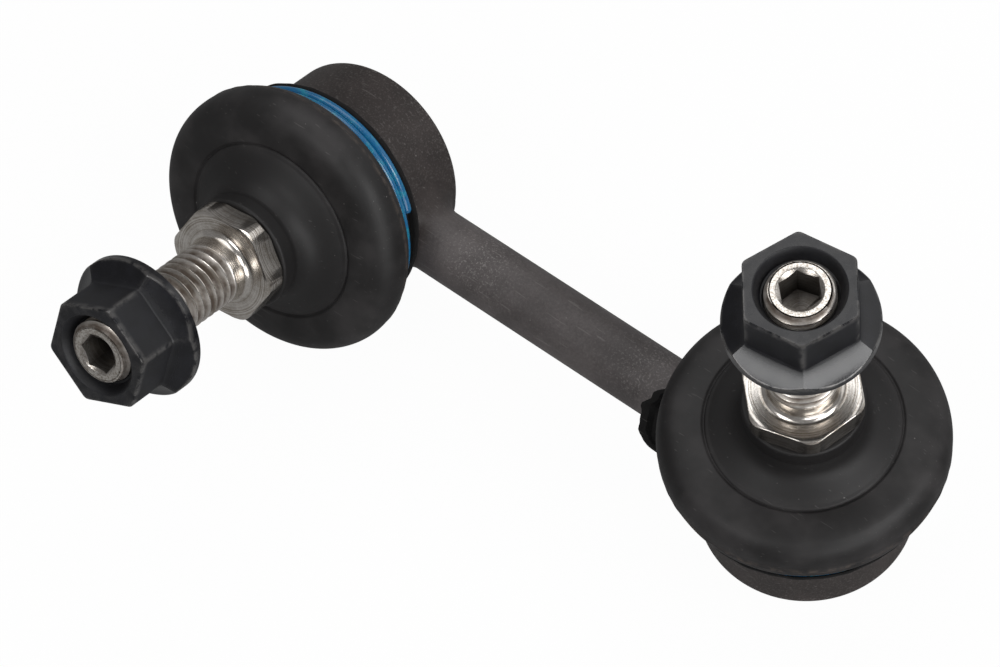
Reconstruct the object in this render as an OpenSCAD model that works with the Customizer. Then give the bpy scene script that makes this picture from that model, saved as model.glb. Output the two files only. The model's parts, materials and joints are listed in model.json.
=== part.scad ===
// Stabilizer link: a short rod with a ball joint at each end.
// Each ball joint is drawn along its own stud, with the rod axis at height zero,
// and is then placed at its end of the rod. The whole model stands on the right stud.

/* [Link] */
// Distance between the two stud axes, along the rod
centre_distance = 85; // [70:1:200]
// Turn of the left stud about the rod, against the right stud
stud_twist = 65.5; // [0:0.5:180]
// Diameter of the connecting rod
rod_d = 10; // [8:0.5:12]
// Radius of the weld fillet between rod and housing
weld_r = 3; // [1.5:0.5:5]

/* [Housing] */
// Outer diameter of the housing
house_d = 31.4; // [30.6:0.2:34]
// Height of the housing behind the rod axis
house_back = 7.7; // [7:0.1:9]
// Rise of the housing in front past the rod's surface, up to the boot
front_rise = 0.1; // [0.1:0.1:1.5]
// Rounding of the housing's outer edge at the back
house_round = 0.9; // [0.3:0.1:1.5]
// Height of the neck that carries the boot
mouth_h = 5.2; // [4.8:0.1:6.3]
// Width of the shoulder between the housing's wall and that neck
shoulder_w = 1.2; // [1.1:0.1:2.5]
// Depth of the groove in that neck, which holds the boot's bead
bead_depth = 0.75; // [0.4:0.05:1]
// Height of that groove
bead_h = 1.7; // [1.2:0.1:2.2]
// Widening of the housing's mouth, in which the stud swings
mouth_flare = 1.2; // [0.8:0.1:2]
// Thickness of the edge rolled over the cover plate
roll_t = 0.9; // [0.6:0.1:1.4]
// Overlap of the rolled edge on the cover plate
roll_w = 1.3; // [0.8:0.1:2]

/* [Bearing] */
// Diameter of the ball
ball_d = 16; // [14:0.5:17]
// Height of the ball's centre in front of the rod axis
ball_lift = 4.4; // [4:0.1:5.5]
// Wall of the plastic seat around the ball's equator
seat_wall = 2.6; // [2:0.1:3]
// Angle from the stud axis at which the seat's mouth begins
seat_mouth = 55; // [52:1:60]
// Width of the seat's rim round its mouth
seat_rim = 1; // [0.6:0.1:1.4]
// Gap between ball and seat, and between seat and housing
bearing_gap = 0.06; // [0.03:0.01:0.1]
// Thickness of the cover plate at the back
cover_t = 1.6; // [1.2:0.1:2]
// Overlap of the cover plate past the seat
cover_step = 1.5; // [1:0.1:2]
// Height of the dish pressed into the cover plate
cover_dish = 0.6; // [0.2:0.1:0.8]
// Width of the flat ring between the rolled edge and the dish
cover_ring = 1.2; // [0.6:0.1:2]
// Width of the dish's sloping wall
dish_slope = 2; // [1:0.1:3]
// Gap round the cover plate
cover_gap = 0.03; // [0.02:0.01:0.06]

/* [Stud] */
// Nominal diameter of the stud
stud_d = 10; // [8:1:12]
// Length of the stud past its collar
stud_len = 27.9; // [24:0.1:40]
// Diameter of the threaded tip that carries the nut
tip_d = 9.5; // [7.5:0.1:9.6]
// Depth of the chamfer at the stud's end
tip_chamfer = 0.7; // [0.3:0.1:1.2]
// Width across the flats of the hexagon socket in the stud's end
socket_af = 6; // [4:0.5:6]
// Depth of the hexagon socket
socket_depth = 5.5; // [3:0.5:9]
// Length of the shank's full diameter that stays clear of the nut
shank_clear = 1; // [0.5:0.1:2]
// Radius of the fillet between collar and stud
fillet_r = 1.2; // [0.6:0.1:2]
// Width across the flats of the hexagon collar
collar_af = 16; // [15:0.5:18]
// Height of the collar
collar_h = 3.6; // [3:0.1:6]
// Distance from the rod axis to the collar's seat face
collar_face = 28.9; // [28:0.1:33]
// Diameter of the round seat face on the collar
seat_face_d = 15.8; // [14:0.1:15.9]
// Slope of the chamfer on the collar's corners
collar_slope = 30; // [20:1:45]
// Small chamfer on turned edges
edge_chamfer = 0.5; // [0.3:0.1:0.7]
// Diameter of the neck above the ball
neck_d = 8.4; // [7:0.2:9]
// Diameter of the land that the boot grips
land_d = 12; // [11:0.2:12.6]
// Height of the land below the collar
land_h = 5.6; // [5:0.1:6]

/* [Boot] */
// Diameter of the boot at its widest
lobe_d = 42; // [40:0.2:46]
// Diameter of the lip behind the clamp ring
lip_d = 36.4; // [35.2:0.2:38.4]
// Thickness of the lip
lip_t = 0.9; // [0.7:0.1:1.6]
// Diameter of the flat ring at the lobe's back, over the clamp ring
lobe_back_d = 38.5; // [37:0.5:39.5]
// Diameter of the moulded ring line on the boot's face
crease_d = 28; // [26:0.5:30]
// Width and depth of that ring line
crease_w = 0.35; // [0.2:0.05:0.6]
// Height from the clamp ring to the face at the ring line
lobe_h = 7.6; // [6.5:0.1:8.5]
// Thickness of the rubber
boot_wall = 1.9; // [1.5:0.1:2.2]
// Diameter of the boot's neck below the collar
boot_neck_d = 17.2; // [16.6:0.2:18]
// Height of the boot's edge above the neck ring
neck_edge = 0.6; // [0.4:0.1:0.8]
// Gap between the boot and the collar
collar_gap = 0.2; // [0.1:0.05:0.3]
// Gap between the boot and the metal that it grips
grip_gap = 0.05; // [0.03:0.01:0.1]

/* [Wire rings] */
// Wire diameter of the clamp ring on the housing
clamp_wire = 1.35; // [1.1:0.05:1.5]
// Thickness of rubber under the clamp ring
clamp_rubber = 2.4; // [2:0.05:2.8]
// Free width of the groove beside the clamp ring
clamp_room = 0.9; // [0.4:0.1:1.2]
// Turn of the clamp ring's first end from the rod
clamp_turn = 21; // [0:1:90]
// Wire diameter of the ring on the boot's neck
neck_wire = 0.9; // [0.7:0.1:1]
// Gap between one turn of wire and the next
wire_gap = 0.04; // [0.02:0.01:0.08]

/* [Nut] */
// Width across the flats of the nut
nut_af = 15.4; // [13:0.1:16]
// Height of the nut with its flange
nut_h = 10; // [8:0.1:12]
// Diameter of the flange
flange_d = 21.8; // [20:0.2:24]
// Height of the flange's rim at the middle of a flat
rim_t = 1.1; // [0.6:0.1:1.6]
// Slope of the flange's facets
facet_slope = 33; // [20:1:40]
// Diameter of the countersink at the nut's top
countersink_d = 12.7; // [11:0.1:13]
// Depth of that countersink
countersink_depth = 1.9; // [1:0.1:2.5]
// Size of the chamfer at the bore's lower edge
bore_chamfer = 0.6; // [0.3:0.1:1]
// Distance from the collar's seat face to the nut's flange
nut_seat = 18.2; // [16:0.1:24]
// Gap between the nut and the stud
nut_gap = 0.08; // [0.05:0.01:0.1]
// Turn of the left nut about its stud
left_nut_turn = 27; // [0:1:59]
// Turn of the right nut about its stud
right_nut_turn = 8; // [0:1:59]
// Turn of the left stud's collar and socket
left_collar_turn = 8; // [0:1:59]
// Turn of the right stud's collar and socket
right_collar_turn = 15; // [0:1:59]

/* [Hidden] */
$fn = 96;

// Finishes
phosphate = "#3e3836";
rubber = "#282626";
bright_steel = "#b3aca2";
nut_black = "#1b1c22";
clamp_blue = "#19699f";
seat_white = "#e8e6df";

// Housing and bearing
house_r = house_d / 2;
rod_r = rod_d / 2;
house_front = rod_r + front_rise;
ball_r = ball_d / 2;
seat_r = ball_r + seat_wall;
socket_r = ball_r + bearing_gap;
cover_r = seat_r + cover_step;
cover_z = roll_t - house_back;
seat_z = cover_z + cover_t;
seat_top_z = ball_lift + socket_r * cos(seat_mouth);
seat_edge_r = socket_r * sin(seat_mouth) + seat_rim;
seat_knee_z = seat_top_z - (seat_r - seat_edge_r);
neck_top_z = house_front + mouth_h;
mouth_r = house_r - shoulder_w;
bead_z = house_front + (mouth_h - bead_h) / 2;

// Boot, measured from the housing outwards
groove_r = mouth_r + clamp_rubber;
lip_r = lip_d / 2;
lip_z = house_front + grip_gap;
groove_z = lip_z + lip_t;
clamp_pitch = clamp_wire + wire_gap;
groove_w = clamp_wire + clamp_pitch + clamp_room;
lobe_z = groove_z + groove_w;
face_z = lobe_z + lobe_h;

// Stud, measured from the rod axis
collar_z = collar_face - collar_h;
land_z = collar_z - land_h;
neck_cone_h = land_d - neck_d;
stud_end_z = collar_face + stud_len;
nut_z = collar_face + nut_seat;
tip_z = nut_z - shank_clear;
boot_top_z = collar_z - collar_gap;
neck_ring_pitch = neck_wire + wire_gap;
neck_groove_w = neck_wire + neck_ring_pitch;
neck_ring_z = boot_top_z - neck_edge - neck_groove_w;
neck_groove_r = boot_neck_d / 2 - neck_wire - grip_gap;

// Overlap of shapes that are joined, and overrun of those that are cut away
overrun = 1;

// The frame's origin lies on the right stud, where its straight shank begins
origin_z = collar_face + fillet_r;

function hex_r(af) = af / 2 / cos(30);

// Points along a cubic curve from a to d, pulled by b and c
function curve(a, b, c, d, steps = 10) = [
    for (i = [0 : steps])
        let (t = i / steps, u = 1 - t)
            u * u * u * a + 3 * u * u * t * b + 3 * u * t * t * c + t * t * t * d
];

// Points along a round arc, with start and end in degrees
function arc(centre, r, from, to, steps = 6) = [
    for (i = [0 : steps])
        let (a = from + (to - from) * i / steps)
            centre + r * [cos(a), sin(a)]
];

module left_end() {
    translate([-centre_distance, 0, -origin_z])
        rotate([stud_twist, 0, 0])
            children();
}

module right_end() {
    translate([0, 0, -origin_z])
        rotate([0, 0, 180])
            children();
}

// A wire of nearly two turns that steps sideways to its second turn after the first
module wire_ring(mean_r, wire, pitch, steps, sides = 8) {
    first_turn = 300;
    step_turn = 60;
    sweep = 2 * first_turn + step_turn;
    function rise(a) = let (t = min(max((a - first_turn) / step_turn, 0), 1)) pitch * t * t * (3 - 2 * t);
    points = [
        for (i = [0 : steps])
            let (a = sweep * i / steps)
                for (k = [0 : sides - 1])
                    let (b = 360 * k / sides, r = mean_r + wire / 2 * cos(b))
                        [r * cos(a), r * sin(a), rise(a) + wire / 2 * sin(b)]
    ];
    faces = concat(
        [[for (k = [0 : sides - 1]) k]],
        [[for (k = [sides - 1 : -1 : 0]) steps * sides + k]],
        [
            for (i = [0 : steps - 1])
                for (k = [0 : sides - 1])
                    let (n = (k + 1) % sides)
                        [i * sides + k, (i + 1) * sides + k, (i + 1) * sides + n, i * sides + n]
        ]
    );
    translate([0, 0, wire / 2])
        polyhedron(points, faces, convexity = 6);
}

// A cup open at both ends: rolled edge at the back, flared mouth and boot neck in front
module housing() {
    back = -house_back;
    color(phosphate)
        rotate_extrude()
            polygon(concat(
                [[cover_r - roll_w, back]],
                arc([house_r - house_round, back + house_round], house_round, -90, 0),
                [
                    [house_r, house_front - edge_chamfer],
                    [house_r - edge_chamfer, house_front],
                    [mouth_r, house_front],
                    [mouth_r, bead_z],
                    [mouth_r - bead_depth, bead_z],
                    [mouth_r - bead_depth, bead_z + bead_h],
                    [mouth_r, bead_z + bead_h],
                    [mouth_r, neck_top_z - edge_chamfer],
                    [mouth_r - edge_chamfer, neck_top_z],
                    [seat_edge_r + mouth_flare, neck_top_z],
                    [seat_edge_r, seat_top_z + bearing_gap],
                    [seat_r + bearing_gap, seat_knee_z + bearing_gap],
                    [seat_r + bearing_gap, seat_z],
                    [cover_r, seat_z],
                    [cover_r, cover_z],
                    [cover_r - roll_w, cover_z]
                ]
            ));
}

// A pressed plate with a shallow dish, held by the housing's rolled edge
module cover_plate() {
    rim = cover_r - roll_w - cover_ring;
    dish = rim - dish_slope;
    color(phosphate)
        translate([0, 0, cover_z])
            rotate_extrude()
                polygon([
                    [0, -cover_dish],
                    [dish, -cover_dish],
                    [rim, 0],
                    [cover_r - cover_gap, 0],
                    [cover_r - cover_gap, cover_t],
                    [0, cover_t]
                ]);
}

// A plastic cup that wraps the ball past its equator
module ball_seat() {
    from = 270;
    to = 360 + 90 - seat_mouth;
    color(seat_white)
        rotate_extrude()
            polygon(concat(
                arc([0, ball_lift], socket_r, from, to, 24),
                [
                    [seat_edge_r, seat_top_z],
                    [seat_r, seat_knee_z],
                    [seat_r, seat_z + bearing_gap],
                    [0, seat_z + bearing_gap]
                ]
            ));
}

// A hexagon collar with a turned seat face and a chamfer on its corners
module collar() {
    corner_r = hex_r(collar_af);
    corner_drop = (corner_r - seat_face_d / 2) * tan(collar_slope);
    intersection() {
        translate([0, 0, collar_z])
            cylinder(r = corner_r, h = collar_h, $fn = 6);
        rotate_extrude()
            polygon([
                [0, collar_z],
                [corner_r - edge_chamfer, collar_z],
                [corner_r, collar_z + edge_chamfer],
                [corner_r, collar_face - corner_drop],
                [seat_face_d / 2, collar_face],
                [0, collar_face]
            ]);
    }
}

// Ball, neck, boot land, collar, shank and tip turned from one bar, with a hexagon socket in the end
module ball_stud(turn) {
    stud_r = stud_d / 2;
    tip_r = tip_d / 2;
    color(bright_steel)
        rotate([0, 0, turn])
            difference() {
                union() {
                    translate([0, 0, ball_lift])
                        sphere(ball_r);
                    rotate_extrude()
                        polygon([
                            [0, ball_lift],
                            [neck_d / 2, ball_lift],
                            [neck_d / 2, land_z - neck_cone_h],
                            [land_d / 2, land_z],
                            [land_d / 2, collar_z + overrun],
                            [0, collar_z + overrun]
                        ]);
                    collar();
                    rotate_extrude()
                        polygon(concat(
                            [[0, collar_face - overrun]],
                            [[stud_r + fillet_r, collar_face - overrun]],
                            arc([stud_r + fillet_r, collar_face + fillet_r], fillet_r, 270, 180),
                            [
                                [stud_r, tip_z],
                                [tip_r, tip_z],
                                [tip_r, stud_end_z - tip_chamfer],
                                [tip_r - tip_chamfer / 2, stud_end_z],
                                [0, stud_end_z]
                            ]
                        ));
                }
                translate([0, 0, stud_end_z - socket_depth])
                    cylinder(r = hex_r(socket_af), h = socket_depth + overrun, $fn = 6);
            }
}

// A squat bellows: lip, groove for the clamp ring, one lobe, and a hollow face up to the neck
module boot() {
    lobe_r = lobe_d / 2;
    crease_r = crease_d / 2;
    neck_r = boot_neck_d / 2;
    bore_r = land_d / 2 + grip_gap;
    grip_r = mouth_r + grip_gap;
    bead_r = grip_r - bead_depth;
    face_pull = (boot_top_z - face_z) * 0.22;
    // Pulls that round the lobe, its two corners and the edge of its face
    bulge = 0.65;
    corner = 1.6;
    drop = 0.5;
    outside = concat(
        [[grip_r, lip_z]],
        arc([lip_r - lip_t / 2, lip_z + lip_t / 2], lip_t / 2, -90, 90),
        [
            [groove_r, groove_z],
            [groove_r, lobe_z]
        ],
        curve(
            [lobe_back_d / 2, lobe_z],
            [lobe_r + bulge, lobe_z + corner],
            [lobe_r + bulge, face_z - corner],
            [lobe_r - bulge - corner, face_z - drop],
            14
        ),
        curve(
            [lobe_r - 2 * corner, face_z - drop / 2],
            [lobe_r - 2 * corner - drop, face_z],
            [crease_r + corner, face_z],
            [crease_r + crease_w, face_z],
            6
        ),
        [[crease_r, face_z - crease_w]],
        curve(
            [crease_r - crease_w, face_z],
            [crease_r - 2 * corner, face_z + face_pull],
            [neck_r + bulge, face_z + face_pull],
            [neck_r, neck_ring_z - drop],
            10
        ),
        [
            [neck_groove_r, neck_ring_z],
            [neck_groove_r, neck_ring_z + neck_groove_w],
            [neck_r, neck_ring_z + neck_groove_w + grip_gap],
            [neck_r, boot_top_z]
        ]
    );
    inside = concat(
        [
            [bore_r, boot_top_z],
            [bore_r, neck_ring_z - boot_wall]
        ],
        curve(
            [bore_r + boot_wall, face_z + face_pull - boot_wall],
            [neck_r + boot_wall, face_z + face_pull / 2 - boot_wall],
            [crease_r, face_z - boot_wall],
            [lobe_r - 2 * corner - drop, face_z - drop / 2 - boot_wall],
            8
        ),
        curve(
            [lobe_r - 2 * corner, face_z - drop - boot_wall],
            [lobe_r - 2 * bulge, face_z - 2 * drop - boot_wall],
            [lobe_r - 2 * bulge, lobe_z + boot_wall],
            [groove_r - boot_wall / 2, lobe_z + bulge],
            8
        ),
        [
            [grip_r, neck_top_z - grip_gap],
            [grip_r, bead_z + bead_h - grip_gap],
            [bead_r, bead_z + bead_h - grip_gap],
            [bead_r, bead_z + grip_gap],
            [grip_r, bead_z + grip_gap]
        ]
    );
    color(rubber)
        rotate_extrude()
            polygon(concat(outside, inside));
}

module clamp_ring() {
    color(clamp_blue)
        translate([0, 0, groove_z + grip_gap])
            rotate([0, 0, clamp_turn])
                wire_ring(groove_r + clamp_wire / 2 + grip_gap, clamp_wire, clamp_pitch, 110);
}

module neck_ring() {
    color(nut_black)
        translate([0, 0, neck_ring_z])
            wire_ring(neck_groove_r + neck_wire / 2 + grip_gap, neck_wire, neck_ring_pitch, 72);
}

// A hexagon nut on a flange with one flat facet under each side
module flange_nut(turn) {
    bore_r = stud_d / 2 + nut_gap;
    facet_rise = (flange_d - nut_af) / 2 * tan(facet_slope);
    color(nut_black)
        translate([0, 0, nut_z])
            rotate([0, 0, turn])
                difference() {
                    union() {
                        cylinder(r = hex_r(nut_af), h = nut_h, $fn = 6);
                        intersection() {
                            union() {
                                cylinder(r = hex_r(flange_d), h = rim_t, $fn = 6);
                                translate([0, 0, rim_t])
                                    cylinder(
                                        r1 = hex_r(flange_d),
                                        r2 = hex_r(nut_af),
                                        h = facet_rise,
                                        $fn = 6
                                    );
                            }
                            cylinder(d = flange_d, h = nut_h);
                        }
                    }
                    rotate_extrude()
                        polygon([
                            [0, -overrun],
                            [bore_r + bore_chamfer, -overrun],
                            [bore_r + bore_chamfer, 0],
                            [bore_r, bore_chamfer],
                            [bore_r, nut_h - countersink_depth],
                            [countersink_d / 2, nut_h],
                            [countersink_d / 2, nut_h + overrun],
                            [0, nut_h + overrun]
                        ]);
                }
}

// The fillet of weld metal round the rod where it meets the housing
module weld() {
    root = house_r - weld_r;
    toe = house_r + weld_r;
    color(phosphate)
        intersection() {
            difference() {
                rotate([0, 90, 0])
                    rotate_extrude()
                        polygon(concat(
                            [[rod_r, toe]],
                            arc([rod_r + weld_r, toe], weld_r, 180, 270),
                            [
                                [rod_r + weld_r, root],
                                [rod_r, root]
                            ]
                        ));
                cylinder(r = house_r, h = house_d, center = true);
            }
            translate([0, -house_r, house_round - house_back])
                cube([toe, house_d, house_back - house_round + house_front - edge_chamfer]);
        }
}

// A plain bar with its ends cut to sit on both housings
module connecting_rod() {
    color(phosphate)
        difference() {
            translate([-centre_distance, 0, -origin_z])
                rotate([0, 90, 0])
                    cylinder(r = rod_r, h = centre_distance);
            left_end()
                cylinder(r = house_r, h = house_d, center = true);
            right_end()
                cylinder(r = house_r, h = house_d, center = true);
        }
}

module left_weld() { left_end() weld(); }
module right_weld() { right_end() weld(); }
module left_housing() { left_end() housing(); }
module right_housing() { right_end() housing(); }
module left_cover_plate() { left_end() cover_plate(); }
module right_cover_plate() { right_end() cover_plate(); }
module left_ball_seat() { left_end() ball_seat(); }
module right_ball_seat() { right_end() ball_seat(); }
module left_ball_stud() { left_end() ball_stud(left_collar_turn); }
module right_ball_stud() { right_end() ball_stud(right_collar_turn); }
module left_boot() { left_end() boot(); }
module right_boot() { right_end() boot(); }
module left_clamp_ring() { left_end() clamp_ring(); }
module right_clamp_ring() { right_end() clamp_ring(); }
module left_neck_ring() { left_end() neck_ring(); }
module right_neck_ring() { right_end() neck_ring(); }
module left_flange_nut() { left_end() flange_nut(left_nut_turn); }
module right_flange_nut() { right_end() flange_nut(right_nut_turn); }

connecting_rod();
left_weld();
right_weld();
left_housing();
right_housing();
left_cover_plate();
right_cover_plate();
left_ball_seat();
right_ball_seat();
left_ball_stud();
right_ball_stud();
left_boot();
right_boot();
left_clamp_ring();
right_clamp_ring();
left_neck_ring();
right_neck_ring();
left_flange_nut();
right_flange_nut();
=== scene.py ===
"""Dress the stabilizer link: numpy surfaces for its pieces, their finishes, and a plain studio.

Every piece is drawn in millimetres in the frame of its own ball joint, with z along the stud,
x towards the rod and the rod's axis at height zero, and is then placed in the model's frame in metres.
"""

import json
import logging
import math
from collections.abc import Callable
from dataclasses import dataclass, field
from enum import Enum
from typing import Any

import bmesh
import bpy
import numpy as np
from mathutils import Matrix, Vector


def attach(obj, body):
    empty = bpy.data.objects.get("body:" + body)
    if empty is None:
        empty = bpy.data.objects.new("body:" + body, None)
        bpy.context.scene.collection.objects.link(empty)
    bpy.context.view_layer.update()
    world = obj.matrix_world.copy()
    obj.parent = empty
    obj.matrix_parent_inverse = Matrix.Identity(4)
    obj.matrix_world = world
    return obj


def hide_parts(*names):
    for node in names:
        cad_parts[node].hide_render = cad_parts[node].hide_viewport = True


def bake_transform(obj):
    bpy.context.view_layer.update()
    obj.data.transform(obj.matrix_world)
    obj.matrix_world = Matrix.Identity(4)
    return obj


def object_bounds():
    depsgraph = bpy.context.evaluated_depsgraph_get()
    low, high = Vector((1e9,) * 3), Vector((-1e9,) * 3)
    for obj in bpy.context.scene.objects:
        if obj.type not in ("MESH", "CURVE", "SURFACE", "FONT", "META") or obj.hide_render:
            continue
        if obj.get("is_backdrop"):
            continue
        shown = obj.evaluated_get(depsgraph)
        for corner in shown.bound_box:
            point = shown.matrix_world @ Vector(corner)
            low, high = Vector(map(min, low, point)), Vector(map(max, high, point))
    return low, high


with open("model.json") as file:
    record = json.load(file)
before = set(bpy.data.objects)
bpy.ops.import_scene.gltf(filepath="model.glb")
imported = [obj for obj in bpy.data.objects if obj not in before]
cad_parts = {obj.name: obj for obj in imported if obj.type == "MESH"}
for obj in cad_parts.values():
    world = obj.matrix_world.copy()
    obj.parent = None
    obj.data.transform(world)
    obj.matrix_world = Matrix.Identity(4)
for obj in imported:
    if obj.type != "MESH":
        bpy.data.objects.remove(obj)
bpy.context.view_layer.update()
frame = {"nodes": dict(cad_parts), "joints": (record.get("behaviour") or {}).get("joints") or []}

log = logging.getLogger("stabilizer_link")

MM = 0.001
FULL_TURN = 2 * np.pi
FLOOR_GAP = 0.0005
RGB = tuple[float, float, float]
Pair = tuple[float, float]
Rows = tuple[np.ndarray, np.ndarray]


class End(Enum):
    """The two ball joints of the link."""

    LEFT = "left"
    RIGHT = "right"


class Slot(Enum):
    """The record's material slots."""

    PHOSPHATE = "phosphate_steel"
    RUBBER = "boot_rubber"
    STUD = "stud_steel"
    NUT = "nut_black"
    CLAMP = "clamp_wire"
    NECK = "neck_wire"
    SEAT = "seat_plastic"


# Curves and grids


def cubic(a: Pair, b: Pair, c: Pair, d: Pair, steps: int) -> np.ndarray:
    """Points on a cubic curve: the four points weighted by the Bernstein terms of t from 0 to 1.

    Args:
        a: First point, as radius and height.
        b: Pull of the start.
        c: Pull of the end.
        d: Last point.
        steps: Number of steps between the first and the last point.

    Returns:
        An array of steps + 1 rows of radius and height.
    """
    t = np.linspace(0, 1, steps + 1)[:, None]
    u = 1 - t
    return u**3 * np.array(a) + 3 * u * u * t * np.array(b) + 3 * u * t * t * np.array(c) + t**3 * np.array(d)


def arc(centre: Pair, radius: float, start: float, end: float, steps: int = 8) -> np.ndarray:
    """Points on a round arc: the centre plus the radius times the cosine and sine of the angle.

    Args:
        centre: Radius and height of the arc's centre.
        radius: Radius of the arc.
        start: First angle in degrees.
        end: Last angle in degrees.
        steps: Number of steps between them.

    Returns:
        An array of steps + 1 rows of radius and height.
    """
    a = np.radians(np.linspace(start, end, steps + 1))
    return np.array(centre) + radius * np.stack([np.cos(a), np.sin(a)], 1)


def line(*points: Pair, step: float = 0.5) -> np.ndarray:
    """A broken line through the points, cut so that no piece is longer than the step.

    Args:
        points: Corners, each as radius and height.
        step: Longest piece.

    Returns:
        An array of rows of radius and height.
    """
    corners = np.array(points, float)
    runs = [
        np.linspace(p, q, max(int(np.ceil(np.linalg.norm(q - p) / step)), 1), endpoint=False)
        for p, q in zip(corners[:-1], corners[1:])
    ]
    return np.concatenate([*runs, corners[-1:]])


def bell(x: np.ndarray, middle: float, width: float) -> np.ndarray:
    """A smooth bump of height 1: e to the minus square of the distance in widths."""
    return np.exp(-(((x - middle) / width) ** 2))


def ramp(x: np.ndarray, low: float, high: float) -> np.ndarray:
    """A smooth rise from 0 at low to 1 at high, 3 t squared minus 2 t cubed."""
    t = np.clip((x - low) / (high - low), 0, 1)
    return t * t * (3 - 2 * t)


def ripple(theta: np.ndarray, seed: int, waves: tuple[int, ...]) -> np.ndarray:
    """An uneven wave round the axis: sines of whole wave numbers with seeded phases, within about 1.

    Args:
        theta: Angles in radians.
        seed: Seed of the phases.
        waves: Whole numbers of waves per turn.

    Returns:
        The wave at each angle.
    """
    phases = np.random.default_rng(seed).uniform(0, FULL_TURN, len(waves))
    return sum(np.sin(n * theta + p) for n, p in zip(waves, phases)) / len(waves)


def from_corner(theta: np.ndarray) -> np.ndarray:
    """Angle from the nearest corner of a hexagon with corners at 0, 60, ... degrees."""
    return np.mod(theta + np.pi / 6, np.pi / 3) - np.pi / 6


def hexagon(theta: np.ndarray, across_flats: float, rounding: float = 0.0) -> np.ndarray:
    """Distance from the axis to a hexagon with corners at 0, 60, ... degrees.

    On a flat it is the half width over the cosine of the angle from the flat's middle. Near a corner it is the
    far hit of the ray on a circle of the rounding's radius that touches both flats.

    Args:
        theta: Angles in radians.
        across_flats: Width across the flats.
        rounding: Radius of the rounded corners.

    Returns:
        The radius at each angle.
    """
    half = across_flats / 2
    corner = from_corner(theta)
    flat = np.pi / 6 - np.abs(corner)
    radius = half / np.cos(flat)
    if rounding > 0:
        reach = (half - rounding) / np.cos(np.pi / 6)
        inside = rounding**2 - (reach * np.sin(corner)) ** 2
        curved = reach * np.cos(corner) + np.sqrt(np.maximum(inside, 0))
        on_corner = half * np.tan(flat) > (half - rounding) * np.tan(np.pi / 6)
        radius = np.where(on_corner, curved, radius)
    return radius


def round_angles(count: int, corners: int = 0, margin: float = 1.2) -> np.ndarray:
    """Angles round the axis, with a few more on each side of each corner.

    Args:
        count: Number of even angles.
        corners: Number of corners that get more angles, 0 for none.
        margin: Angle in degrees from a corner to its furthest extra angle.

    Returns:
        Rising angles in radians.
    """
    even = np.arange(count) * 360 / count
    if corners:
        near = np.arange(corners)[:, None] * 360 / corners + np.array([-1, -0.5, 0.5, 1]) * margin
        even = np.unique(np.concatenate([even, near.ravel() % 360]).round(4))
    return np.radians(even)


def spread(profile: np.ndarray, theta: np.ndarray) -> Rows:
    """Radius and height of a round profile for each row and column."""
    return profile[:, :1] * np.ones_like(theta), profile[:, 1:] * np.ones_like(theta)


def stack(blocks: list[Rows]) -> Rows:
    """Put blocks of rows one after the other."""
    radius, height = zip(*blocks)
    return np.concatenate(radius), np.concatenate(height)


@dataclass
class Surface:
    """A grid of points in millimetres, with rows along a profile and columns round an axis.

    A profile that runs up the outside and down the inside gives faces that point outwards.

    Attributes:
        points: Array of rows, columns and three coordinates.
        masks: Named numbers for each point, which the finishes read.
        closed: Whether the last row joins the first.
        wrapped: Whether the last column joins the first.
    """

    points: np.ndarray
    masks: dict[str, np.ndarray] = field(default_factory=dict)
    closed: bool = False
    wrapped: bool = True

    def faces(self) -> np.ndarray:
        """Four corners for each face: a point, the next column, and the same two in the next row."""
        rows, cols = self.points.shape[:2]
        across, round_axis = rows - (not self.closed), cols - (not self.wrapped)
        i, j = np.meshgrid(np.arange(across), np.arange(round_axis), indexing="ij")
        below, above = i * cols, (i + 1) % rows * cols
        right = (j + 1) % cols
        return np.stack([below + j, below + right, above + right, above + j], -1).reshape(-1, 4)

    @classmethod
    def turned(
        cls, radius: np.ndarray, height: np.ndarray, theta: np.ndarray, closed: bool = False, **masks: np.ndarray
    ) -> "Surface":
        """Carry a profile round the axis: radius times cosine, radius times sine, height.

        Args:
            radius: Radius for each row, or for each row and column.
            height: Height for each row, or for each row and column.
            theta: Angle of each column.
            closed: Whether the last row joins the first.
            masks: Named numbers for each row, or for each row and column.

        Returns:
            The surface.
        """

        def fill(values: np.ndarray) -> np.ndarray:
            """Repeat values for each row round the axis."""
            return np.broadcast_to(values[:, None] if values.ndim == 1 else values, (len(radius), len(theta)))

        r, z = fill(radius), fill(height)
        points = np.stack([r * np.cos(theta), r * np.sin(theta), z], -1)
        return cls(points, {name: fill(values) for name, values in masks.items()}, closed)


@dataclass(frozen=True)
class Place:
    """Where a surface goes: an origin in metres, and the directions of its x, y and z as rows."""

    origin: np.ndarray
    axes: np.ndarray

    @classmethod
    def of_end(cls, end: End, ball_lift: float) -> "Place":
        """Find the frame of a ball joint from its own joint about the stud.

        Args:
            end: Which ball joint.
            ball_lift: Distance in millimetres from the rod's axis to the ball's centre.

        Returns:
            The place, with x towards the rod.
        """
        joint = next(j for j in frame["joints"] if j["name"] == f"{end.value}_swing_direction")
        z = np.array(joint["axis"], float)
        x = np.array([1.0 if end is End.LEFT else -1.0, 0, 0])
        return cls(np.array(joint["pos_m"]) - z * ball_lift * MM, np.array([x, np.cross(z, x), z]))

    def world(self, points: np.ndarray) -> np.ndarray:
        """Points in metres in the model's frame."""
        return self.origin + points @ self.axes * MM

    def at(self, height: float) -> Vector:
        """The point on the axis at a height in millimetres."""
        return Vector(self.world(np.array([0.0, 0.0, height])))


# Shader maths


def operator(operation: str, flipped: bool = False) -> Callable[["Sock", Any], "Sock"]:
    """Make an operator for sockets.

    Args:
        operation: The Math node's operation.
        flipped: Whether the other value comes first.

    Returns:
        The method, which adds the Math node.
    """

    def method(sock: "Sock", other: Any) -> "Sock":
        """The result for a socket and another socket or number."""
        return sock.math(operation, *((other, sock) if flipped else (sock, other)))

    return method


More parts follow.
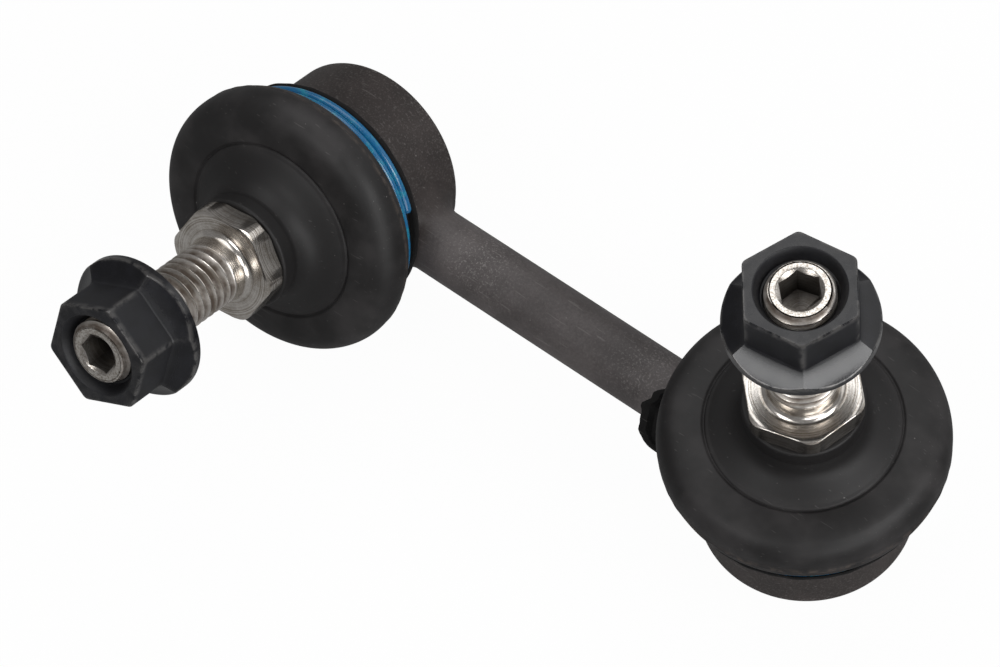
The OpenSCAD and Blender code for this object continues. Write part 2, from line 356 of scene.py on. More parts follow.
class Sock:
    """An output of a shader node, whose arithmetic adds Math nodes."""

    __add__ = __radd__ = operator("ADD")
    __mul__ = __rmul__ = operator("MULTIPLY")
    __sub__ = operator("SUBTRACT")
    __rsub__ = operator("SUBTRACT", flipped=True)
    __pow__ = operator("POWER")
    at_most = operator("MINIMUM")

    def __init__(self, net: "Net", link: bpy.types.NodeSocket | None) -> None:
        """Wrap the output socket of a node in a net, or none at the end of a net."""
        self.net = net
        self.link = link

    def math(self, operation: str, *values: Any) -> "Sock":
        """Add a Math node with these inputs, which are sockets or numbers."""
        return self.net.node("ShaderNodeMath", {"operation": operation}, dict(enumerate(values)))

    def rise(self, low: float, high: float) -> "Sock":
        """A smooth step from 0 at low to 1 at high."""
        values = {0: self, 1: low, 2: high}
        return self.net.node("ShaderNodeMapRange", {"interpolation_type": "SMOOTHSTEP"}, values)


class Net:
    """The node tree of one material."""

    def __init__(self, name: str) -> None:
        """Start an empty material with that name."""
        self.material = bpy.data.materials.new(name)
        self.material.use_nodes = True
        self.tree = self.material.node_tree
        self.tree.nodes.clear()

    def node(self, kind: str, settings: dict[str, Any], sockets: dict[Any, Any], out: int | str = 0) -> Sock:
        """Add any node.

        Args:
            kind: The node's type.
            settings: Its properties, which are set first.
            sockets: Its inputs by name or number, as sockets or plain values.
            out: The output that is wanted.

        Returns:
            That output.
        """
        made = self.tree.nodes.new(kind)
        for key, value in settings.items():
            setattr(made, key, value)
        for key, value in sockets.items():
            if isinstance(value, Sock):
                self.tree.links.new(value.link, made.inputs[key])
            else:
                made.inputs[key].default_value = value
        return Sock(self, made.outputs[out] if made.outputs else None)

    def mask(self, name: str) -> Sock:
        """A number that the surface carries for each point."""
        return self.node("ShaderNodeAttribute", {"attribute_name": name}, {}, "Fac")

    def spot(self) -> Sock:
        """The point in millimetres in the piece's own frame."""
        return self.node("ShaderNodeAttribute", {"attribute_name": "spot"}, {}, "Vector")

    def stretched(self, vector: Sock, turn: RGB, scale: RGB) -> Sock:
        """Turn a vector by angles in degrees and scale it along the turned axes."""
        turned = tuple(math.radians(a) for a in turn)
        return self.node("ShaderNodeMapping", {}, {"Vector": vector, "Rotation": turned, "Scale": scale})

    def noise(self, vector: Sock, scale: float, detail: float = 2.0, roughness: float = 0.5) -> Sock:
        """Noise from 0 to 1, with so many cells per millimetre."""
        values = {"Vector": vector, "Scale": scale, "Detail": detail, "Roughness": roughness}
        return self.node("ShaderNodeTexNoise", {}, values)

    def rings(self, along: Sock, scale: float, detail: float = 2.0) -> Sock:
        """Noise that changes along one number only, as turning marks do."""
        values = {"W": along, "Scale": scale, "Detail": detail}
        return self.node("ShaderNodeTexNoise", {"noise_dimensions": "1D"}, values)

    def specks(self, vector: Sock, scale: float, share: float, size: float) -> Sock:
        """Small round dots: near the middle of a share of the cells of a Voronoi pattern.

        Args:
            vector: Where to read the pattern.
            scale: Cells per millimetre.
            share: Share of the cells that hold a dot.
            size: Radius of a dot, in cells.

        Returns:
            1 inside a dot and 0 outside.
        """
        values = {"Vector": vector, "Scale": scale}
        near = self.node("ShaderNodeTexVoronoi", {}, values, "Distance")
        colour = self.node("ShaderNodeTexVoronoi", {}, values, "Color")
        pick = self.node("ShaderNodeSeparateColor", {}, {0: colour}, "Red")
        return (1 - near.rise(size * 0.6, size)) * pick.rise(1 - share, 1 - share + 0.01)

    def streaks(self, vector: Sock, turn: RGB, length: float, width: float, level: float) -> Sock:
        """Short straight scratches: where a noise that is stretched along one turned axis is very high.

        Args:
            vector: Where to read the pattern.
            turn: Angles in degrees that turn the scratches.
            length: Length of a cell along the scratches, in millimetres.
            width: Width of a cell across them, in millimetres.
            level: Level of the noise above which a scratch shows.

        Returns:
            1 on a scratch and 0 elsewhere.
        """
        drawn = self.stretched(vector, turn, (1 / length, 1 / width, 1 / width))
        return self.noise(drawn, 1.0, 0.0).rise(level, level + 0.05)

    def mix(self, factor: Any, a: Any, b: Any) -> Sock:
        """Mix two colours."""
        four = [(*c, 1.0) if isinstance(c, tuple) else c for c in (a, b)]
        return self.node("ShaderNodeMix", {"data_type": "RGBA"}, {0: factor, 6: four[0], 7: four[1]}, 2)

    def bump(self, height: Sock, distance: float, strength: float = 1.0) -> Sock:
        """A normal that follows a height from 0 to 1, which stands for so many millimetres."""
        return self.node("ShaderNodeBump", {}, {"Strength": strength, "Distance": distance * MM, "Height": height})

    def finish(self, **sockets: Any) -> bpy.types.Material:
        """Close the material with a Principled shader.

        Args:
            sockets: The shader's inputs, with spaces written as underscores.

        Returns:
            The material.
        """
        values = {key.replace("_", " "): value for key, value in sockets.items()}
        shader = self.node("ShaderNodeBsdfPrincipled", {}, values)
        self.node("ShaderNodeOutputMaterial", {}, {"Surface": shader})
        return self.material


# Finishes


@dataclass(frozen=True)
class PhosphateSteel:
    """Grey-brown phosphate coat: matt, mottled, thinner on the rod, with pale specks and rubbed scratches."""

    dark: RGB = (0.019, 0.0148, 0.0138)
    light: RGB = (0.038, 0.0300, 0.0282)
    thin_dark: RGB = (0.056, 0.0490, 0.0485)
    thin_light: RGB = (0.104, 0.0920, 0.0910)
    pale: RGB = (0.25, 0.235, 0.225)

    def material(self) -> bpy.types.Material:
        """Mottle the coat with two sizes of noise, and lay specks, scuffs and scratches over it."""
        net = Net("phosphate_steel")
        spot = net.spot()
        cloud = net.noise(spot, 0.14, 3.0)
        grain = net.noise(spot, 2.4, 4.0, 0.65)
        rub = net.mask("rub")
        mottle = (cloud * 0.6 + grain * 0.4).rise(0.32, 0.68)
        thick = net.mix(mottle, self.dark, self.light)
        coat = net.mix(net.mask("thin"), thick, net.mix(mottle, self.thin_dark, self.thin_light))
        dust = net.specks(spot, 1.3, 0.05, 0.2) * 0.3
        flaked = net.noise(spot, 3.0, 4.0, 0.75).rise(0.53, 0.63) * rub
        scratch = net.streaks(spot, (10, 35, 20), 5.0, 0.35, 0.77)
        scratch = scratch + net.streaks(spot, (60, -20, 75), 4.0, 0.3, 0.79)
        worn = dust + flaked * 0.6 + scratch * 0.22
        return net.finish(
            Base_Color=net.mix(worn.at_most(1.0), coat, self.pale),
            Roughness=0.44 + grain * 0.2 - flaked * 0.1,
            Metallic=0.0,
            Specular_IOR_Level=0.4,
            Normal=net.bump(grain * 0.7 + cloud * 0.3, 0.05, 0.55),
        )


@dataclass(frozen=True)
class MouldedRubber:
    """Black moulded rubber: matt with a soft bloom, dust specks, short scratches, a dull flash line, and painted
    shade on the face and below the lobe.
    """

    black: RGB = (0.0070, 0.0062, 0.0064)
    bloom: RGB = (0.0250, 0.0228, 0.0232)
    dust: RGB = (0.20, 0.19, 0.185)
    flash: RGB = (0.060, 0.046, 0.038)
    shade: RGB = (0.0030, 0.0026, 0.0026)

    def material(self) -> bpy.types.Material:
        """Cloud the black, but not on the face, which stays darker as painted shade; dust it, lighten the flash
        line where the mould parted, and paint near-black shade below the lobe.
        """
        net = Net("boot_rubber")
        spot = net.spot()
        cloud = net.noise(spot, 0.11, 3.0, 0.6)
        grain = net.noise(spot, 4.0, 3.0, 0.6)
        # painted shade: no bloom on the face inside the ring line, so it stays darker than the lobe
        rubber = net.mix(cloud.rise(0.35, 0.7) * (1 - net.mask("face")), self.black, self.bloom)
        ragged = net.mask("flash") * net.noise(spot, 0.8, 3.0).rise(0.42, 0.62)
        # painted shade: near black and rougher below the lobe's back, over the groove and the lip
        gap = net.mask("gap")
        edged = net.mix(gap, net.mix(ragged * 0.7, rubber, self.flash), self.shade)
        scratch = net.streaks(spot, (0, 20, 40), 3.5, 0.28, 0.80)
        scratch = scratch + net.streaks(spot, (30, 0, -50), 3.0, 0.25, 0.81)
        dust = net.specks(spot, 0.45, 0.24, 0.05) + net.specks(spot, 1.1, 0.06, 0.09) * 0.6
        marks = dust + scratch * 0.2
        return net.finish(
            Base_Color=net.mix(marks.at_most(1.0) * 0.7, edged, self.dust),
            Roughness=0.44 + cloud * 0.16 + grain * 0.06 + gap * 0.4,
            Specular_IOR_Level=0.44,
            Normal=net.bump(grain, 0.012, 0.5),
        )


@dataclass(frozen=True)
class TurnedSteel:
    """Turned and plated steel: warm silver, with turning marks, brown oil and painted shade in the thread's roots,
    and painted shade in the socket.
    """

    silver: RGB = (0.80, 0.765, 0.72)
    tarnish: RGB = (0.38, 0.335, 0.285)
    oil_and_shade: RGB = (0.085, 0.061, 0.045)
    socket_shade: RGB = (0.016, 0.012, 0.010)

    def material(self) -> bpy.types.Material:
        """Run turning marks along radius plus height, tarnish in patches, darken the roots with oil and painted
        shade, and paint shade into the socket.
        """
        net = Net("stud_steel")
        spot = net.spot()
        x, y, z = (net.node("ShaderNodeSeparateXYZ", {}, {0: spot}, axis) for axis in "XYZ")
        radius = (x * x + y * y) ** 0.5
        marks = net.rings(radius + z, 4.0, 3.0)
        patch = net.noise(spot, 0.4, 4.0, 0.65)
        grain = net.noise(spot, 5.0, 2.0)
        root = net.mask("root")
        end = net.mask("end")
        pitted = net.noise(spot, 3.2, 4.0, 0.75)
        spread = (patch * 0.4 + marks * 0.5 + grain * 0.2) * (1 - end) + (pitted * 1.3 - 0.1) * end
        bare = net.mix(spread.rise(0.44, 0.72), self.silver, self.tarnish)
        # oil and painted shade: the thread's roots go dark brown and less metallic
        oil_and_shade_share = root * (0.65 + 0.3 * patch.rise(0.3, 0.6))
        return net.finish(
            # painted shade: near black inside the hex socket
            Base_Color=net.mix(net.mask("socket_shade"), net.mix(oil_and_shade_share, bare, self.oil_and_shade), self.socket_shade),
            Roughness=0.11 + marks * 0.14 + patch * 0.08 + root * 0.32,
            Metallic=1.0 - root * 0.55,
            Normal=net.bump(marks * 0.65 + grain * 0.35, 0.022, 0.7),
        )


@dataclass(frozen=True)
class BlackNut:
    """Black coated steel: blue-black satin, rubbed grey along its edges."""

    black: RGB = (0.0030, 0.0032, 0.0048)
    soft: RGB = (0.0058, 0.0061, 0.0086)
    worn: RGB = (0.30, 0.29, 0.28)

    def material(self) -> bpy.types.Material:
        """Cloud the black and break the coat along the edges with noise."""
        net = Net("nut_black")
        spot = net.spot()
        cloud = net.noise(spot, 0.35, 3.0)
        grain = net.noise(spot, 3.5, 3.0)
        coat = net.mix(cloud.rise(0.35, 0.65), self.black, self.soft)
        edge = net.mask("edge") * net.noise(spot, 0.6, 4.0, 0.65).rise(0.38, 0.60)
        nicks = net.specks(spot, 0.9, 0.06, 0.12)
        return net.finish(
            Base_Color=net.mix(edge * 0.36 + nicks * 0.1, coat, self.worn),
            Roughness=0.12 + cloud * 0.10 + grain * 0.05 + net.mask("dull") * 0.35,
            Metallic=edge * 0.5,
            Specular_IOR_Level=0.5,
            Normal=net.bump(grain * 0.6 + cloud * 0.4, 0.02, 0.5),
        )


@dataclass(frozen=True)
class CoatedWire:
    """Spring wire with a coloured coat that is thinner in places."""

    name: str
    coat: RGB
    thin: RGB
    metallic: float
    roughness: float

    def material(self) -> bpy.types.Material:
        """Thin the coat in patches and draw fine lines along the wire."""
        net = Net(self.name)
        spot = net.spot()
        patch = net.noise(spot, 0.5, 3.0, 0.6)
        grain = net.noise(spot, 4.0, 2.0)
        return net.finish(
            Base_Color=net.mix(patch.rise(0.45, 0.7), self.coat, self.thin),
            Roughness=self.roughness + grain * 0.15,
            Metallic=self.metallic,
            Coat_Weight=0.35,
            Coat_Roughness=0.2,
            Normal=net.bump(grain, 0.01, 0.6),
        )


@dataclass(frozen=True)
class BearingPlastic:
    """Natural bearing plastic, a little cloudy."""

    clear: RGB = (0.80, 0.79, 0.74)
    cloudy: RGB = (0.70, 0.68, 0.61)

    def material(self) -> bpy.types.Material:
        """Cloud the plastic with noise read in metres."""
        net = Net("seat_plastic")
        spot = net.node("ShaderNodeTexCoord", {}, {}, "Object")
        cloud = net.noise(spot, 300.0, 3.0)
        return net.finish(
            Base_Color=net.mix(cloud.rise(0.3, 0.7), self.clear, self.cloudy),
            Roughness=0.35 + cloud * 0.2,
            Subsurface_Weight=0.1,
        )


class Finishes:
    """The materials of the link, one for each slot of the record."""

    def __init__(self) -> None:
        """Make every material once."""
        coats = {
            Slot.PHOSPHATE: PhosphateSteel(),
            Slot.RUBBER: MouldedRubber(),
            Slot.STUD: TurnedSteel(),
            Slot.NUT: BlackNut(),
            Slot.CLAMP: CoatedWire("clamp_wire", (0.004, 0.120, 0.28), (0.010, 0.235, 0.34), 0.0, 0.16),
            Slot.NECK: CoatedWire("neck_wire", (0.012, 0.011, 0.011), (0.022, 0.020, 0.019), 0.2, 0.5),
            Slot.SEAT: BearingPlastic(),
        }
        self.by_slot = {slot: coat.material() for slot, coat in coats.items()}

    def carry(self, node: str, slot: Slot) -> None:
        """Give a CAD node that keeps its own mesh a material."""
        mesh = frame["nodes"][node].data
        mesh.materials.clear()
        mesh.materials.append(self.by_slot[slot])
        log.info("carried %s in %s", node, slot.value)

    def piece(
        self, name: str, surface: Surface, place: Place, slot: Slot, crease: float = 32.0
    ) -> bpy.types.Object:
        """Make a surface an object, close its seams and poles, and give it its finish.

        Args:
            name: The piece's name.
            surface: The points in millimetres.
            place: Where the piece goes.
            slot: The slot whose finish it takes.
            crease: Angle in degrees past which an edge is drawn sharp.

        Returns:
            The object, at the origin, with its place in its mesh.
        """
        mesh = bpy.data.meshes.new(name)
        local = surface.points.reshape(-1, 3)
        mesh.from_pydata(place.world(local).tolist(), [], surface.faces().tolist())
        spot = mesh.attributes.new("spot", "FLOAT_VECTOR", "POINT")
        spot.data.foreach_set("vector", local.astype(np.float32).ravel())
        for key, values in surface.masks.items():
            mask = mesh.attributes.new(key, "FLOAT", "POINT")
            mask.data.foreach_set("value", values.astype(np.float32).ravel())
        work = bmesh.new()
        work.from_mesh(mesh)
        bmesh.ops.remove_doubles(work, verts=work.verts, dist=2e-7)
        work.to_mesh(mesh)
        work.free()
        mesh.shade_smooth()
        mesh.set_sharp_from_angle(angle=math.radians(crease))
        mesh.materials.append(self.by_slot[slot])
        made = bpy.data.objects.new(name, mesh)
        bpy.context.scene.collection.objects.link(made)
        log.info("made %s: %d faces in %s", name, len(mesh.polygons), slot.value)
        return made


# Pieces


@dataclass
class Housing:
    """The round cup of a ball joint, with a rolled edge behind and a neck for the boot in front."""

    radius: float = 15.7
    back: float = 7.7
    front: float = 5.1
    rounding: float = 0.9
    front_edge: float = 0.5
    neck_r: float = 14.5
    neck_top: float = 10.3
    mouth_r: float = 8.8
    throat_r: float = 7.6
    throat_z: float = 9.08
    cavity_r: float = 10.66
    cavity_top: float = 6.09
    pocket_r: float = 12.1
    roll_t: float = 0.9
    roll_r: float = 10.8
    roll_edge: float = 0.35
    cover_r: float = 12.07
    cover_t: float = 1.6
    cover_play: float = 0.02
    dish_r: float = 7.6
    dish_rim_r: float = 9.6
    dish_depth: float = 0.6
    dish_bend: float = 0.9
    columns: int = 192

    def cup(self) -> Surface:
        """Turn the cup: rolled edge, round back, wall, round front, neck and mouth, then back down the inside."""
        back, pocket = -self.back, self.roll_t - self.back
        ledge = pocket + self.cover_t
        r, bend, edge, roll_r, lip = self.radius, self.rounding, self.front_edge, self.roll_r, self.roll_edge
        outline = np.concatenate([
            line((roll_r, pocket), (roll_r, lip + back)),
            arc((roll_r + lip, lip + back), lip, 180, 270, 5)[1:],
            line((roll_r + lip + 0.5, back), (r - bend, back))[:-1],
            arc((r - bend, bend + back), bend, -90, 0, 10),
            line((r, bend + back + 0.3), (r, self.front - edge - 0.2)),
            arc((r - edge, self.front - edge), edge, 0, 90, 8),
            line((self.neck_r, self.front), (self.neck_r, self.neck_top), (self.mouth_r, self.neck_top)),
            line((self.throat_r, self.throat_z), (self.cavity_r, self.cavity_top), (self.cavity_r, ledge),
                 (self.pocket_r, ledge)),
            line((self.pocket_r, pocket), (roll_r + 0.3, pocket)),
        ])
        wall = outline[:, 0] > r - 0.7
        rub = np.where(wall, 0.25 + 0.5 * bell(outline[:, 1], back, 1.2), 0.3)
        return Surface.turned(*outline.T, round_angles(self.columns), closed=True, rub=rub)

    def cover(self) -> Surface:
        """Turn the pressed plate: a flat dish, a slope with soft bends and a flat rim, then its inner face."""
        pocket = self.roll_t - self.back
        face, inner = pocket + self.cover_play, pocket + self.cover_t - self.cover_play
        low, r, rim, bend = face - self.dish_depth, self.dish_r, self.dish_rim_r, self.dish_bend
        outline = np.concatenate([
            line((0.0, low), (r - 0.5, low), step=0.7),
            cubic((r, low), (r + bend, low), (rim - bend, face), (rim, face), 10),
            line((rim + 0.4, face), (self.cover_r, face), (self.cover_r, inner)),
            line((self.cover_r - 0.5, inner), (0.0, inner), step=2.0),
        ])
        rub = 0.4 * bell(outline[:, 0], r, 0.8) * (outline[:, 1] < face + 0.1)
        return Surface.turned(*outline.T, round_angles(self.columns), rub=rub)

    def build(self, end: End, place: Place, finishes: Finishes) -> None:
        """Make the cup and its cover plate, which ride on the link.

        Args:
            end: Which ball joint.
            place: Its frame.
            finishes: The materials.
        """
        for name, surface in (("housing", self.cup()), ("cover_plate", self.cover())):
            made = finishes.piece(f"{end.value}_{name}_skin", surface, place, Slot.PHOSPHATE)
            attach(made, "link_body")
            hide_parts(f"{end.value}_{name}")


@dataclass
class LinkRod:
    """The bar between the housings, with a weld fillet that flares out to each of them."""

    length: float = 85.0
    radius: float = 5.0
    fillet: float = 3.0
    house_r: float = 15.7
    reach_front: float = 4.85
    reach_back: float = 7.4
    blend: float = 4.0
    depth: float = 4.0
    coat_fade: float = 3.5
    rubbed: Pair = (27.0, 58.0)
    rub_half: float = 5.0
    columns: int = 128
    steps: int = 16
    rows: int = 60

    def flare(self, y: np.ndarray, z: np.ndarray) -> Rows:
        """Work out the fillet round the rod at one end.

        For a direction (y, z) round the rod and an angle b from 0 to 90 degrees, the distance from the rod's axis
        is the rod's radius plus f (1 - sin b), and the place along the rod is the housing's wall there plus
        f (1 - cos b). The fillet's radius f is a smooth minimum of its own size and the room up to the housing's
        front or back. Two rows before it close the end inside the housing.

        Args:
            y: Part of each unit direction across the stud.
            z: Part of each unit direction along the stud.

        Returns:
            Distance from the rod's axis, and place along the rod from the stud's axis, for each row and column.
        """
        reach = np.where(z > 0, self.reach_front, self.reach_back)
        room = np.maximum(reach / np.maximum(np.abs(z), 1e-6) - self.radius, 0.02)
        f = (room**-self.blend + self.fillet**-self.blend) ** (-1 / self.blend)
        b = np.radians(np.linspace(0, 90, self.steps + 1))[:, None]
        away = self.radius + f * (1 - np.sin(b))
        along = np.sqrt(self.house_r**2 - (away * y) ** 2) + f * (1 - np.cos(b))
        away = np.concatenate([np.zeros((1, len(y))), away[:1], away])
        along = np.concatenate([np.full((1, len(y)), self.house_r - self.depth), along[:1] - 1.2, along])
        return away, along

    def surface(self, left: Place, right: Place) -> Surface:
        """Run from the left fillet along the bar to the right fillet.

        Args:
            left: Frame of the left ball joint.
            right: Frame of the right ball joint.

        Returns:
            The closed bar, from the left ball joint's origin, with x along the rod and y and z as in the model.
        """
        psi = round_angles(self.columns)
        round_rod = np.stack([np.zeros_like(psi), -np.sin(psi), np.cos(psi)], 1)
        away_l, along_l = self.flare(round_rod @ left.axes[1], round_rod @ left.axes[2])
        away_r, along_r = self.flare(round_rod @ right.axes[1], round_rod @ right.axes[2])
        t = np.linspace(0, 1, self.rows)[1:-1, None]
        bar = along_l[-1] * (1 - t) + (self.length - along_r[-1]) * t
        along = np.concatenate([along_l, bar, self.length - along_r[::-1]])
        away = np.concatenate([away_l, np.full(bar.shape, self.radius), away_r[::-1]])
        points = along[..., None] * np.array([1.0, 0, 0]) + away[..., None] * round_rod
        upper = ramp(round_rod @ np.array([0.0, 0.1, 1.0]), 0.0, 0.8)
        first, second = (bell(along, middle, self.rub_half) for middle in self.rubbed)
        rub = 0.15 + (0.85 * first + 0.8 * second) * upper
        start, stop = self.house_r, self.length - self.house_r
        thin = ramp(along, start, start + self.coat_fade) * (1 - ramp(along, stop - self.coat_fade, stop))
        return Surface(points, {"rub": np.minimum(rub, 1.0), "thin": thin})

    def build(self, left: Place, right: Place, finishes: Finishes) -> None:
        """Make the bar, which stands for the rod and both welds.

        Args:
            left: Frame of the left ball joint.
            right: Frame of the right ball joint.
            finishes: The materials.
        """
        made = finishes.piece("link_rod", self.surface(left, right), Place(left.origin, np.eye(3)), Slot.PHOSPHATE)
        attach(made, "link_body")
        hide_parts("connecting_rod", "left_weld", "right_weld")


@dataclass
class Boot:
    """The rubber boot: lip, clamp groove, one lobe, a face with a moulded ring line, and a neck."""

    seed: int = 11
    flap: float = 0.0
    flap_at: float = 18.0
    flap_half: float = 15.0
    lean: Pair = (0.0, 0.0)
    cuff: float = 0.0
    lip_r: float = 18.2
    lip_z: float = 5.15
    lip_t: float = 0.9
    groove_r: float = 16.9
    groove_w: float = 3.64
    lobe_back_r: float = 19.25
    lobe_r: float = 21.0
    lobe_h: float = 7.6
    bulge: float = 0.65
    corner: float = 1.6
    drop: float = 0.5
    crease_r: float = 14.0
    crease_w: float = 0.35
    wall: float = 1.9
    grip_r: float = 14.55
    neck_r: float = 8.6
    neck_ring_z: float = 22.66
    top: float = 25.1
    bore_r: float = 6.05
    flash_z: float = 2.3
    flash_h: float = 0.16
    lobe_wave: float = 0.13
    lobe_sway: float = 0.12
    lip_wave: float = 0.16
    grip_depth: float = 0.8
    columns: int = 288

    @property
    def lobe_z(self) -> float:
        """Height of the lobe's back."""
        return self.lip_z + self.lip_t + self.groove_w

    @property
    def face_z(self) -> float:
        """Height of the face at the ring line."""
        return self.lobe_z + self.lobe_h

    def outline(self) -> np.ndarray:
        """The profile, up the outside from the lip to the neck and down the inside.

        Returns:
            Rows of radius and height.
        """
        lip_z, lobe_z, face_z, ring_z, top = self.lip_z, self.lobe_z, self.face_z, self.neck_ring_z, self.top
        lobe_r, neck_r, crease_r, bore_r = self.lobe_r, self.neck_r, self.crease_r, self.bore_r
        bulge, corner, drop, wall, crease_w = self.bulge, self.corner, self.drop, self.wall, self.crease_w
        half, groove_z, pull = self.lip_t / 2, lip_z + self.lip_t, (top - face_z) * 0.22
        lip_r, wide = self.lip_r - half, lobe_r + bulge
        brow_r, step_r = lobe_r - bulge - corner, lobe_r - 2 * corner
        edge = np.array([0.6, 0.2, -0.2, -0.6, -1.0]) * crease_w + crease_r
        depth = np.array([-0.10, -0.7 * crease_w, -0.7 * crease_w, -0.06, 0.03]) + face_z
        outside = [
            line((self.grip_r, lip_z), (lip_r - 0.2, lip_z)),
            arc((lip_r, lip_z + half), half, -90, 90, 14),
            line((lip_r - 0.1, groove_z), (lip_r - 0.2, groove_z), (self.groove_r, groove_z),
                 (self.groove_r, lobe_z), (self.lobe_back_r - 0.3, lobe_z), step=0.3),
            cubic((self.lobe_back_r, lobe_z), (wide, lobe_z + corner), (wide, face_z - corner),
                  (brow_r, face_z - drop), 64),
            cubic((brow_r - 0.13, face_z - drop + 0.05), (step_r - drop, face_z), (crease_r + corner, face_z),
                  (crease_r + crease_w, face_z), 20),
            np.stack([edge, depth], 1),
            cubic((crease_r - 0.6, face_z + 0.09), (crease_r - 2 * corner, face_z + pull),
                  (neck_r + bulge, face_z + pull), (neck_r, ring_z - drop), 32),
            line((neck_r + 0.1, ring_z), (neck_r + 0.1, top - 0.5), step=0.3),
            arc((neck_r - 0.3, top - 0.4), 0.4, 0, 90, 5),
        ]
        inner, inner_r = face_z - wall, lobe_r - 2 * bulge
        inside = [
            line((bore_r, top), (bore_r, ring_z - 0.2), (bore_r + 0.9, ring_z - wall)),
            cubic((bore_r + wall, inner + pull), (neck_r + wall, inner + pull / 2), (crease_r, inner),
                  (step_r - drop, inner - drop / 2), 12),
            cubic((step_r, inner - drop), (inner_r, inner - 2 * drop), (inner_r, lobe_z + wall),
                  (self.groove_r - wall / 2, lobe_z + bulge), 12),
            line((self.grip_r, lobe_z + bulge - 0.1), (self.grip_r, lip_z + 0.4), step=1.0),
        ]
        return np.concatenate(outside + inside)

    def surface(self) -> Surface:
        """Turn the profile, unevenly: the lobe waves a little, and thin flash stands on its widest line.

        To each radius it adds a wave times the lobe's bell, a ragged flash times a narrow bell, a wavy lip edge,
        and a torn flap of the lip near the rod. A cuff turns the lip's upper edge out and up over the clamp ring.
        The lobe leans to one side, less and less up the neck.

        Returns:
            The closed boot, with the flash, and with the face inside the ring line and the clamp's gap, where
            shade is painted, as masks.
        """
        outline, seed = self.outline(), self.seed
        theta = round_angles(self.columns)
        r, z = outline[:, :1], outline[:, 1:]
        lip_top, lip_edge = self.lip_z + self.lip_t, self.lip_r - self.lip_t / 2
        on_lip = z < lip_top + 0.01
        lip = ramp(r, self.lip_r - 1.2, self.lip_r - 0.2) * on_lip
        upper = ramp(z, self.lip_z + self.lip_t / 2 - 0.2, lip_top) * on_lip
        lobe = bell(z, self.lobe_z + 3.4, 2.4) * (r > self.lobe_back_r - 0.4)
        on_lobe = ramp(r, self.lobe_r - 1.0, self.lobe_r - 0.3)
        widest = self.lobe_z + self.flash_z
        ragged = 0.55 + 0.45 * ripple(theta, seed + 1, (5, 11, 23, 41, 57))
        away = np.mod(np.degrees(theta) - self.flap_at - 180.0, 360.0) - 180.0
        near_rod = bell(away**2, 0.0, self.flap_half**2)
        torn = self.flap * near_rod * (1 + 0.1 * ripple(theta, seed + 4, (19, 37, 53, 71)))
        radius = (
            r
            + upper * (r > lip_edge - 0.15) * self.cuff * 0.8
            + lobe * self.lobe_wave * ripple(theta, seed, (2, 3, 5))
            + bell(z, widest, 0.16) * on_lobe * self.flash_h * ragged
            + lip * (self.lip_wave * ripple(theta, seed + 2, (2, 3, 7, 17, 31)) + torn)
        )
        height = (
            z
            + lobe * self.lobe_sway * ripple(theta, seed + 3, (1, 2, 3))
            + lip * near_rod * self.flap * 0.06
            + upper * (r > lip_edge - 0.05) * self.cuff
        )
        masks = {
            "flash": bell(z, widest, 0.45) * on_lobe,
            # the face and the gap mark where shade is painted
            "face": ramp(-r, -self.crease_r - 0.6, -self.crease_r + 2.0) * (z > self.face_z - 1.0),
            "gap": ramp(-z, -self.lobe_z - 0.6, -self.lobe_z),
        }
        surface = Surface.turned(radius, height, theta, closed=True, **masks)
        fade = 1 - ramp(z, self.face_z + 0.5, self.neck_ring_z - 1.0)
        leaning = ramp(z, self.lobe_z + 0.8, self.lobe_z + 3.5) * fade
        surface.points[..., :2] += leaning[..., None] * np.array(self.lean)
        return surface

    def build(self, end: End, place: Place, finishes: Finishes) -> None:
        """Make the boot, which holds to the housing at its lip and sits round the stud at its neck, with its place
        baked into its mesh.

        Args:
            end: Which ball joint.
            place: Its frame.
            finishes: The materials.
        """
        made = finishes.piece(f"{end.value}_boot_rubber", self.surface(), place, Slot.RUBBER, crease=50.0)
        lower, upper = place.at(self.lobe_z), place.at(self.neck_ring_z - self.grip_depth)
        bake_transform(made)
        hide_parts(f"{end.value}_boot")


@dataclass
class WireRing:
    """A spring wire of nearly two turns, which steps sideways to its second turn after the first."""

    part: str
    mean_r: float
    base_z: float
    wire: float
    pitch: float
    slot: Slot
    first_turn: float = 300.0
    step_turn: float = 60.0
    start: float = 0.0
    columns: int = 20
    rows: int = 330

    def surface(self) -> Surface:
        """Carry a circle along the winding, with a round end on each side.

        The winding's angle grows from row to row and its height rises by one pitch over the step. At each end the
        circle shrinks as the cosine while it moves on by the sine, which makes half a ball.

        Returns:
            The closed wire.
        """
        half = self.wire / 2
        sweep = 2 * self.first_turn + self.step_turn
        cap = np.radians(np.linspace(0, 90, 7))[1:]
        over = np.degrees(half * np.sin(cap) / self.mean_r)
        turn = np.concatenate([-over[::-1], np.linspace(0, sweep, self.rows), sweep + over])
        size = np.concatenate([np.cos(cap)[::-1], np.ones(self.rows), np.cos(cap)])[:, None]
        rise = self.pitch * ramp(turn, self.first_turn, self.first_turn + self.step_turn)
        b = -round_angles(self.columns)
        a = np.radians(turn + self.start)[:, None]
        radius = self.mean_r + half * size * np.cos(b)
        height = self.base_z + half + rise[:, None] + half * size * np.sin(b)
        return Surface(np.stack([radius * np.cos(a), radius * np.sin(a), height], -1))

    def build(self, end: End, body: str, place: Place, finishes: Finishes) -> None:
        """Make the ring.

        Args:
            end: Which ball joint.
            body: The body it rides on.
            place: Its frame.
            finishes: The materials.
        """
        made = finishes.piece(f"{end.value}_{self.part}_wire", self.surface(), place, self.slot)
        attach(made, body)
        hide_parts(f"{end.value}_{self.part}")


